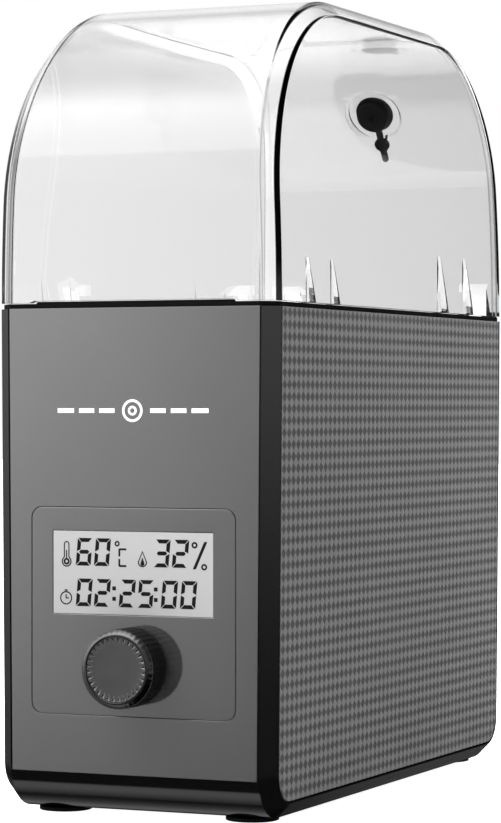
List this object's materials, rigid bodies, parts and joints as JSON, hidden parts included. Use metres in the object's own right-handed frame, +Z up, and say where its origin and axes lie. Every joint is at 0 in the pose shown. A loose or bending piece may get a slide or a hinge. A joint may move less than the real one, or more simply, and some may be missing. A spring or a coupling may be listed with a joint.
{
  "type": "filament dryer box",
  "caption": "Tall, narrow drying box for one filament spool: clear hinged lid, dark base with display and push knob, heated chamber, rollers and a rear filament port.",
  "frame": {"origin": "on the table, below the middle of the outer box", "axes": "+Z up, front face and knob towards -Y, hinge side towards +Y, +X to the right as seen from the front"},
  "size_m": [0.11, 0.2601, 0.295],
  "materials": {
    "gloss_black": "gloss",
    "satin_grey": "satin",
    "woven_grey": "textured",
    "clear_plastic": "clear",
    "black_silicone": "soft matte",
    "matte_black": "matte",
    "knob_cap_black": "satin",
    "liner_grey": "matte",
    "display_grey": "gloss",
    "display_white": "matte",
    "board_green": "satin",
    "steel": "brushed",
    "encoder_grey": "matte",
    "slider_tan": "matte",
    "aluminium": "satin",
    "film_amber": "gloss",
    "wire_white": "satin",
    "wire_red": "satin",
    "ceramic": "matte",
    "bush_white": "satin"
  },
  "bodies": {
    "base": {"base_shell": "gloss_black", "front_panel": "satin_grey", "side_panel_left": "woven_grey", "side_panel_right": "woven_grey", "control_bezel": "satin_grey", "rim_gasket": "black_silicone", "bottom_cover": "matte_black", "cover_screws": "steel", "feet": "black_silicone", "lcd_window": "display_grey", "lcd_module": "display_white", "control_board": "board_green", "board_screws": "steel", "encoder_body": "encoder_grey", "chamber_liner": "liner_grey", "heater_plate": "aluminium", "heater_film": "film_amber", "heater_leads": "wire_white", "thermal_fuse": "ceramic", "humidity_sensor": "board_green", "sensor_lead": "wire_white", "dc_jack": "matte_black", "dc_jack_nut": "steel", "power_leads": "wire_red", "bracket_left": "matte_black", "bracket_right": "matte_black", "front_axle": "steel", "rear_axle": "steel", "hinge_pins": "steel"},
    "lid": {"lid_shell": "clear_plastic", "port_grommet": "black_silicone"},
    "stopper": {"port_stopper": "black_silicone"},
    "knob_carrier": {"encoder_slider": "slider_tan"},
    "knob": {"encoder_shaft": "steel", "knob": "matte_black", "knob_cap": "knob_cap_black"},
    "front_roller": {"front_roller": "aluminium", "front_bushes": "bush_white"},
    "rear_roller": {"rear_roller": "aluminium", "rear_bushes": "bush_white"}
  },
  "joints": [
    {"name": "lid_hinge", "type": "hinge", "parent": "base", "child": "lid", "pos_m": [0, 0.12685, 0.182], "axis": [-1, 0, 0], "range_deg": [0, 95]},
    {"name": "stopper_fold", "type": "hinge", "parent": "lid", "child": "stopper", "pos_m": [0, 0.11741, 0.26328], "axis": [1, 0, 0], "range_deg": [0, 135], "stiffness_Nm_per_rad": 0.0005},
    {"name": "knob_push", "type": "slide", "parent": "base", "child": "knob_carrier", "axis": [0, 1, 0], "range_m": [0, 0.0008], "stiffness_N_per_m": 2500, "springref_m": -0.0004},
    {"name": "knob_turn", "type": "hinge", "parent": "knob_carrier", "child": "knob", "pos_m": [0, -0.11665, 0.0543], "axis": [0, -1, 0], "continuous": true},
    {"name": "front_roller_spin", "type": "hinge", "parent": "base", "child": "front_roller", "pos_m": [0, -0.04165, 0.086], "axis": [1, 0, 0], "continuous": true},
    {"name": "rear_roller_spin", "type": "hinge", "parent": "base", "child": "rear_roller", "pos_m": [0, 0.04835, 0.086], "axis": [1, 0, 0], "continuous": true}
  ]
}
